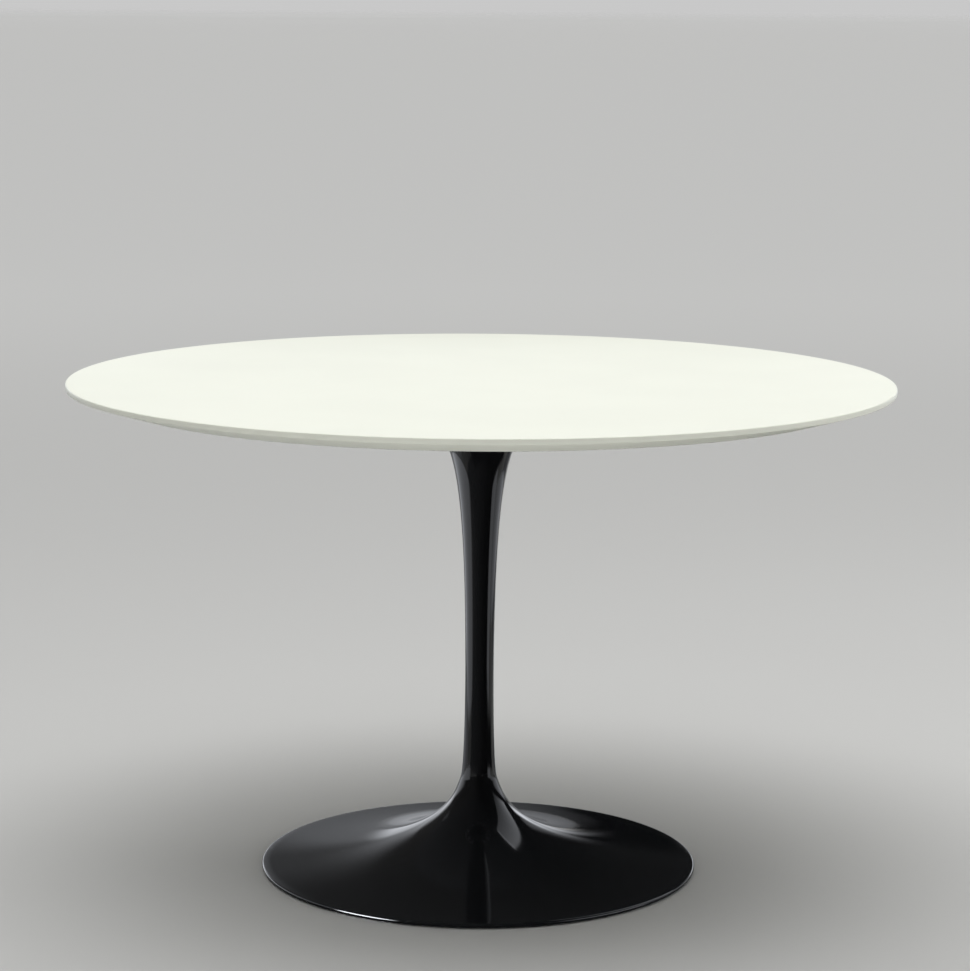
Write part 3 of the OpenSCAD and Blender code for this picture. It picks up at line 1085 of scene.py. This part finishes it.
@dataclass
class Spider(Assembly):
    """The cast spider under the top, with its bush, gasket, screws and washers. Millimetres."""

    bare = {"hub_bushing": Finishes.STEEL}

    radius: float = 150.0
    top: float = 695.0
    low: float = 690.0
    lip: Pair = (6.0, 6.0)
    land: Triple = (77.0, 93.0, 1.0)
    spigot: Pair = (29.9, 664.0)
    bush: Triple = (16.0, 20.0, 3.0)
    arms: int = 8
    rib_t: float = 6.0
    rib_low: float = 680.0
    pcd: float = 250.0
    pad: Pair = (11.0, 3.0)
    hole_r: float = 4.5
    dowel: Pair = (60.0, 4.1)
    washer: Triple = (4.2, 8.0, 1.6)
    screw_r: float = 4.0
    screw_len: float = 20.0
    head: Pair = (7.0, 4.4)
    dome: Pair = (2.9, 5.0)
    shank: float = 9.0
    hex_r: float = 2.88
    pitch: float = 1.25

    def __post_init__(self) -> None:
        """Works out where the pads, the washers and the screws' heads sit."""
        self.pad_low = self.low - self.pad[1]
        self.head_top = self.pad_low - self.washer[2]
        self.head_low = self.head_top - self.head[1]

    def plate(self) -> Shape:
        """Gives the plate with its lip, the land for the gasket, and the spigot."""
        wide, deep = self.lip
        inner, outer, raised = self.land
        spigot_r, spigot_low = self.spigot
        bore_r, flange_r, flange_t = self.bush
        step = self.low - raised
        toe = self.low - deep + 1.5
        return revolve([
            (bore_r, spigot_low),
            arc((spigot_r - 1, spigot_low + 1), 1, 270, 360, 4),
            arc((spigot_r + 2, self.low - 2), 2, 180, 90, 6),
            (inner, self.low), (inner + 0.4, step), (outer - 0.4, step), (outer, self.low),
            arc((self.radius - wide - 2, self.low - 2), 2, 90, 0, 6),
            arc((self.radius - wide + 1.5, toe), 1.5, 180, 270, 5),
            arc((self.radius - 1.5, toe), 1.5, 270, 360, 5),
            arc((self.radius - 1, self.top - 1), 1, 0, 90, 4),
            (flange_r, self.top), (flange_r, self.top - flange_t), (bore_r, self.top - flange_t),
        ], 144)

    def rib(self) -> Shape:
        """Gives one rib: deep at the bell's edge, level with the lip outside."""
        end, top = self.radius - self.lip[0] / 2, self.low + 1
        start = self.land[1] + 3
        outline = [
            (start, top), (start + 2, self.rib_low), (end, self.low - self.lip[1] + 1), (end, top),
        ]
        return ease(plank(outline, self.rib_t), 1.2, 3, 50.0)

    def casting(self) -> Shape:
        """Gives the whole spider with its holes."""
        at, over = self.pcd / 2, self.top + 1
        pad = ease(peg(self.pad[0], self.pad_low, self.low + 1, at), 0.6, 3, 60.0)
        dowel_at, dowel_r = self.dowel
        return combine(
            self.plate(),
            (Join.ADD, around(self.rib(), self.arms, 180 / self.arms)),
            (Join.ADD, around(pad, self.arms)),
            (Join.CUT, around(peg(self.hole_r, self.pad_low - 1, over, at, 32), self.arms)),
            (Join.CUT, around(peg(dowel_r, self.low - 2, over, dowel_at, 32), 2)),
        )

    def screws(self) -> Shape:
        """Gives the button-head screws, each with a six-sided socket and a real thread."""
        wide, high = self.head
        low, top = self.head_low, self.head_top
        tip, neck = top + self.screw_len, top + self.shank
        flat, bend = (spot(radius, low) for radius in self.dome)
        dome = curve(
            flat, bend, spot(wide - 0.4, low + 0.35 * high), spot(wide, low + 0.84 * high), 8
        )
        brim = arc((wide - 0.25, top - 0.25), 0.25, 0, 90, 3)
        body = revolve(
            [(0, low), dome, brim, (self.screw_r, top), (self.screw_r, neck), (0, neck)], 48, False
        )
        wider = self.screw_r + 0.3
        turned = revolve(
            [
                (0, neck - 0.5), (wider, neck - 0.5), (wider, tip - 1.3),
                (self.screw_r - 1, tip), (0, tip),
            ],
            48, False,
        )
        end = combine(thread(self.screw_r, self.pitch, neck - 1, tip + 1, 24), (Join.KEEP, turned))
        socket = peg(self.hex_r, low - 1, low + 0.6 * high, 0.0, 6)
        one = combine(body, (Join.ADD, end), (Join.CUT, socket))
        return around(shift(one, self.pcd / 2), self.arms)

    def washers(self) -> Shape:
        """Gives the washers under the screws' heads."""
        inner, outer, _ = self.washer
        one = collar(inner, outer, self.head_top, self.pad_low, 0.25)
        return around(shift(one, self.pcd / 2), self.arms)

    def pieces(self) -> Rows:
        """Makes the spider, its screws and their washers."""
        yield "spider_casting", self.casting(), Finishes.CAST, "mounting_spider"
        yield "button_screws", self.screws(), Finishes.ZINC, "spider_screws"
        yield "round_washers", self.washers(), Finishes.ZINC, "spider_washers"


@dataclass
class Clamp(Assembly):
    """The tie rod with the nuts and washers that draw the table together. Millimetres."""

    rod_r: float = 8.0
    rod: Pair = (12.0, 690.0)
    pitch: float = 2.0
    threaded: Pair = (64.0, 52.0)
    chamfer: float = 2.1
    nut_af: float = 24.0
    play: float = 0.05
    lock_nut: Pair = (656.0, 664.0)
    clamp_nut: Pair = (18.7, 31.5)
    spring: tuple[float, float, float, float] = (8.3, 13.7, 31.5, 35.0)
    slit: Pair = (8.0, 1.2)
    washer: tuple[float, float, float, float] = (8.5, 28.0, 35.0, 40.0)

    def tie_rod(self) -> Shape:
        """Gives the rod, plain in the middle and threaded at both ends."""
        low, high = self.rod
        below, above = low + self.threaded[0], high - self.threaded[1]
        wide, cut = self.rod_r + 0.6, self.chamfer
        turned: Outline = [
            (0, low), (wide - cut, low), (wide, low + cut),
            (wide, high - cut), (wide - cut, high), (0, high),
        ]
        return combine(
            peg(self.rod_r, below, above),
            (Join.ADD, thread(self.rod_r, self.pitch, low, below + 0.5)),
            (Join.ADD, thread(self.rod_r, self.pitch, above - 0.5, high)),
            (Join.KEEP, revolve(turned, 48, False)),
        )

    def split_washer(self) -> Shape:
        """Gives the spring washer, cut through at a slant."""
        inner, outer, low, high = self.spring
        long, wide = self.slit
        place = Matrix.Translation(((inner + outer) / 2 * MM, 0, (low + high) / 2 * MM))
        size = Matrix.Diagonal((long * MM, wide * MM, 3 * (high - low) * MM, 1.0))
        slit = bmesh.new()
        bmesh.ops.create_cube(
            slit, size=1.0, matrix=place @ Matrix.Rotation(radians(30), 4, "X") @ size
        )
        return combine(collar(inner, outer, low, high, 0.4), (Join.CUT, slit))

    def nut(self, ends: Pair) -> Shape:
        """Gives a nut between two heights."""
        return hexagon(self.nut_af, *ends, self.rod_r + self.play)

    def pieces(self) -> Rows:
        """Makes the rod, its nuts and its washers."""
        yield "threaded_rod", self.tie_rod(), Finishes.ZINC, "tie_rod"
        yield "thin_nut", self.nut(self.lock_nut), Finishes.ZINC, "rod_lock_nut"
        yield "full_nut", self.nut(self.clamp_nut), Finishes.ZINC, "clamp_nut"
        yield "thick_washer", collar(*self.washer, 0.6), Finishes.ZINC, "clamp_washer"
        yield "split_washer", self.split_washer(), Finishes.STEEL, "spring_washer"


# --- The studio ---


class Facing(Enum):
    """Which way a card faces."""

    SIDE = (pi / 2, 0.0, pi / 2)
    FRONT = (pi / 2, 0.0, 0.0)
    UP = (0.0, 0.0, 0.0)


@dataclass(frozen=True)
class Card:
    """A glowing panel or a black flag near the table, which shows only in gloss.

    middle is its centre and size its width and height. A SIDE card is wide along Y and high along
    Z, a FRONT one is wide along X, and an UP one is high along Y. glow is its level at the start
    and the end of its width. soft says how far from the start and end of the width and the start
    and end of the height it takes to cover fully. lean turns it in its own plane and turn about
    the vertical, both in degrees. taper says by what share of the height the start and the end of
    the height draw in at the start of the width, and rise how much the level gains from the start
    to the end of the height.
    """

    name: str
    facing: Facing
    middle: Triple
    size: Pair
    glow: Pair
    soft: tuple[float, float, float, float]
    lean: float = 0.0
    turn: float = 0.0
    taper: Pair = (0.0, 0.0)
    rise: float = 0.0

    def material(self) -> bpy.types.Material:
        """Gives a glow that thins out towards the card's edges."""
        made, kit = blank_material(self.name)
        across, along, _ = kit.axes()
        width, height = self.size
        cover = kit.step(across, -0.5, -0.5 + self.soft[0] / width)
        cover = cover * kit.step(across, 0.5, 0.5 - self.soft[1] / width)
        low = along - (0.5 - across) * self.taper[0]
        high = along + (0.5 - across) * self.taper[1]
        cover = cover * kit.step(low, -0.5, -0.5 + self.soft[2] / height)
        cover = cover * kit.step(high, 0.5, 0.5 - self.soft[3] / height)
        start, end = self.glow
        level = (start + (end - start) * (across + 0.5) + self.rise * (along + 0.5)).greatest(0.0)
        glow = kit.add("Emission", {"Color": STUDIO_TINT, "Strength": level})
        kit.veil(cover, kit.add("BsdfTransparent"), glow)
        return made

    def build(self) -> Piece:
        """Sets the card up."""
        shape = bmesh.new()
        bmesh.ops.create_grid(shape, x_segments=1, y_segments=1, size=0.5)
        card = put(self.name, as_mesh(shape, self.name))
        card.data.materials.append(self.material())
        card.matrix_world = (
            Matrix.Translation(self.middle)
            @ Matrix.Rotation(radians(self.turn), 4, "Z")
            @ Euler(self.facing.value).to_matrix().to_4x4()
            @ Matrix.Rotation(radians(self.lean), 4, "Z")
            @ Matrix.Diagonal((*self.size, 1.0, 1.0))
        )
        hide(card, "camera", "diffuse", "shadow", "transmission")
        return card


@dataclass(frozen=True)
class Softbox:
    """A square lamp that lights the table softly and doesn't show in its gloss.

    level is how bright it makes a white surface that faces it at the point aimed at.
    """

    name: str
    place: Triple
    size: float
    level: float
    aim: Triple = (0.0, 0.0, 0.7)

    def build(self) -> Piece:
        """Hangs the lamp up and turns it to its aim."""
        ray = Vector(self.aim) - Vector(self.place)
        lamp = bpy.data.lights.new(self.name, "AREA")
        lamp.size = self.size
        lamp.energy = self.level * pi**2 * ray.length_squared
        piece = put(self.name, lamp)
        piece.location = self.place
        piece.rotation_euler = ray.to_track_quat("-Z", "Y").to_euler()
        hide(piece, "camera", "glossy")
        return piece


# The lamps, then the panels and flags that draw the light and the dark in the black gloss.
SIDE, FRONT, UP = Facing
LAMPS: tuple["Softbox | Card", ...] = (
    Softbox("key", (0.0, -0.4, 3.3), 2.6, 0.32),
    Softbox("bounce", (0.0, -0.90, 0.03), 1.05, 0.80, aim=(0, -0.55, 0.7)),
    Softbox("fill_left", (-3.6, -0.6, 1.2), 2.0, 0.03, aim=(0, 0, 0.2)),
    Softbox("fill_right", (3.6, 0.2, 1.2), 2.0, 0.28, aim=(0, 0, 0.2)),
    Card("left_back", FRONT, (-3.7, 5.0, 1.30), (4.6, 2.6), (3.2, 2.6), (1.5, 1.2, 0.35, 1.7)),
    Card(
        "left_edge", FRONT, (-1.45, 4.9, 0.62), (1.25, 1.30), (1.7, 1.5),
        (0.3, 0.15, 0.02, 0.5), lean=20,
    ),
    Card("left_rise", FRONT, (-1.55, 5.2, 1.95), (1.5, 2.7), (1.45, 0.35), (0.3, 0.6, 0.3, 2.0)),
    Card(
        "right_back", FRONT, (2.17, 5.0, 0.93), (3.05, 1.25), (2.4, 3.6),
        (1.1, 0.9, 0.6, 0.5), lean=23,
    ),
    Card(
        "right_edge", FRONT, (1.09, 4.7, 0.50), (0.94, 0.96), (1.3, 1.1),
        (0.25, 0.3, 0.02, 0.33), taper=(0.0, 0.45),
    ),
    Card(
        "right_rise", FRONT, (2.174, 5.2, 1.82), (2.92, 1.06), (0.5, 0.42),
        (0.32, 0.9, 0.3, 0.5), lean=49,
    ),
    Card("back_shade", FRONT, (-0.20, 5.1, 0.75), (1.8, 1.5), (0.40, -0.02), (0.1, 0.1, 0.02, 0.6)),
    Card("back_flag", UP, (-0.20, 2.68, 0.001), (1.8, 4.8), (0.46, 0.14), (0.25, 0.25, 0.1, 0.1)),
    Card(
        "right_shade", FRONT, (0.615, 4.8, 0.86), (0.73, 1.1), (0.0, 0.0),
        (0.15, 0.15, 0.15, 0.35),
    ),
    Card(
        "left_tip", UP, (-0.14, 0.70, 0.0014), (0.20, 0.95), (0.50, 0.50),
        (0.05, 0.05, 0.1, 0.25),
    ),
    Card("left_flag", UP, (-2.9, 2.4, 0.0015), (3.6, 3.8), (0.33, 0.33), (0.5, 0.3, 0.3, 0.5)),
    Card(
        "left_patch", UP, (-0.75, 0.35, 0.0014), (0.62, 1.0), (0.78, 0.78),
        (0.15, 0.12, 0.15, 0.2),
    ),
    Card("left_low", SIDE, (-1.0, 0.33, 0.20), (2.15, 0.40), (1.9, 2.1), (0.3, 0.3, 0.02, 0.12)),
    Card("right_low", SIDE, (1.1, 0.65, 0.24), (1.9, 0.30), (1.2, 1.4), (0.3, 0.3, 0.04, 0.08)),
    Card(
        "right_strip", SIDE, (1.08, -0.36, 0.12), (0.55, 0.24), (1.7, 1.7),
        (0.1, 0.1, 0.02, 0.08),
    ),
    Card(
        "right_over", UP, (0.918, 0.325, 0.686), (1.365, 1.45), (0.05, 0.05),
        (0.02, 0.3, 0.03, 0.05), taper=(0.30, 0.46), rise=3.3,
    ),
    Card(
        "right_line", UP, (0.245, 0.22, 0.6855), (0.016, 0.32), (2.6, 2.6),
        (0.003, 0.003, 0.03, 0.03),
    ),
    Card(
        "under_top", UP, (0.0, 0.0, 0.6885), (1.32, 1.32), (0.17, -0.06),
        (0.02, 0.02, 0.02, 0.02),
    ),
    Card("top_sheen", FRONT, (0.0, 0.66, 1.02), (2.2, 0.56), (0.41, 0.41), (0.1, 0.1, 0.02, 0.1)),
    Card(
        "rim_left", FRONT, (-0.1657, -0.2790, 0.0055), (0.12, 0.007), (50, 50),
        (0.03, 0.03, 0.0006, 0.0006), turn=-31,
    ),
    Card(
        "rim_right", FRONT, (0.285, -0.285, 0.028), (0.32, 0.052), (4.0, 4.0),
        (0.08, 0.08, 0.01, 0.02), turn=45,
    ),
    Card("front_flag", UP, (0.4, -3.72, 0.001), (5.2, 6.6), (0.36, -0.25), (1.4, 1.0, 1.5, 0.1)),
    Card("front_wall", FRONT, (0.4, -6.95, 0.5), (5.2, 1.0), (0.03, 0.03), (0.9, 1.0, 0.01, 0.3)),
    Card(
        "right_flag", UP, (0.70, -0.275, 0.0015), (0.85, 1.11), (0.01, 0.01),
        (0.15, 0.15, 0.1, 0.12),
    ),
    Card("far_flag", UP, (1.45, 1.20, 0.0015), (1.3, 1.4), (0.28, 0.28), (0.2, 0.3, 0.25, 0.3)),
    Card("right_wall", SIDE, (2.6, -3.0, 0.25), (5.0, 0.5), (0.02, 0.02), (0.5, 0.8, 0.01, 0.2)),
    Card("near_flag", UP, (0.0, -0.45, 0.0012), (1.0, 0.8), (0.04, 0.04), (0.2, 0.2, 0.2, 0.2)),
)


@dataclass
class Studio:
    """The floor, the lights and the camera."""

    floor_near: Triple = (0.54, 0.54, 0.53)
    floor_far: Triple = (0.66, 0.66, 0.65)
    floor_r: float = 600.0
    fade: Pair = (2.5, 9.0)
    melt: Pair = (40.0, 500.0)
    gloom: Pair = (0.01, 0.15)
    gloom_turn: Pair = (0.25, -0.65)
    ceiling: float = 0.20
    ceiling_low: Pair = (0.66, 0.76)
    haze: float = 0.58
    haze_top: Pair = (0.05, 0.012)
    sun_level: float = 0.82
    sun_spread: float = 70.0
    sun_tilt: Pair = (-8.0, -3.0)
    eye: Vector = Vector((0.0, -4.2276, 1.2540))
    eye_down: float = 9.257
    eye_right: float = 0.083
    eye_roll: float = 0.419
    focal: float = 109.84

    def floor(self) -> Piece:
        """Lays the floor: matt and pale, and paler far away where less light falls."""
        shape = bmesh.new()
        bmesh.ops.create_circle(shape, cap_ends=True, radius=self.floor_r, segments=96)
        piece = put("floor", as_mesh(shape, "floor"))
        made, kit = blank_material("pale_floor")
        away = kit.radius()
        colour = kit.tint(kit.step(away, *self.fade), self.floor_near, self.floor_far)
        matt = kit.add("BsdfDiffuse", {"Color": colour, "Roughness": 0.5})
        kit.veil(kit.step(away, *self.melt), matt, kit.add("BsdfTransparent"))
        piece.data.materials.append(made)
        return piece

    def world(self) -> None:
        """Makes the room: pale at the horizon and dim above it, more so to the right."""
        room = bpy.data.worlds.new("studio")
        room.use_nodes = True
        bpy.context.scene.world = room
        kit = ShaderKit(room.node_tree)
        right, _, up = kit.axes("Generated")
        right_level, left_level = self.gloom
        dim = right_level + (left_level - right_level) * kit.step(right, *self.gloom_turn)
        above = self.ceiling * kit.step(up, *self.ceiling_low)
        level = dim.greatest(above).greatest(self.haze * kit.step(up, *self.haze_top))
        grey = kit.tint(level, (0.0, 0.0, 0.0), (1.0, 1.0, 1.0))
        kit.end(kit.add("Background", {"Color": grey}), "World")

    def sun(self) -> Piece:
        """Hangs one very broad lamp overhead, leaning a little towards the camera."""
        lamp = bpy.data.lights.new("overhead", "SUN")
        lamp.energy = pi * self.sun_level
        lamp.angle = radians(self.sun_spread)
        piece = put("overhead", lamp)
        piece.rotation_euler = (radians(self.sun_tilt[0]), radians(self.sun_tilt[1]), 0)
        hide(piece, "glossy")
        return piece

    def camera(self) -> Piece:
        """Sets up the camera."""
        lens = bpy.data.cameras.new("camera")
        lens.sensor_width = 36.0
        lens.lens = self.focal
        lens.clip_end = 1000.0
        piece = put("camera", lens)
        piece.matrix_world = (
            Matrix.Translation(self.eye)
            @ Matrix.Rotation(radians(-self.eye_right), 4, "Z")
            @ Matrix.Rotation(radians(90 - self.eye_down), 4, "X")
            @ Matrix.Rotation(radians(self.eye_roll), 4, "Z")
        )
        bpy.context.scene.camera = piece
        return piece

    def build(self) -> None:
        """Sets up everything that isn't part of the table."""
        bpy.context.scene.view_settings.view_transform = "Standard"
        self.floor()
        self.world()
        self.sun()
        for lamp in LAMPS:
            lamp.build()
        self.camera()


def report(pieces: Iterable[Piece]) -> None:
    """Logs each piece with its number of faces."""
    for piece in pieces:
        log.info("%s: %d faces", piece.name, len(piece.data.polygons))


def main() -> None:
    """Builds the studio and the table."""
    logging.basicConfig(level=logging.INFO, format="%(name)s %(message)s")
    Studio().build()
    for assembly in (Pedestal(), Top(), Spider(), Clamp()):
        report(assembly.build())
        report(assembly.dress())


if __name__ == "__main__":
    main()
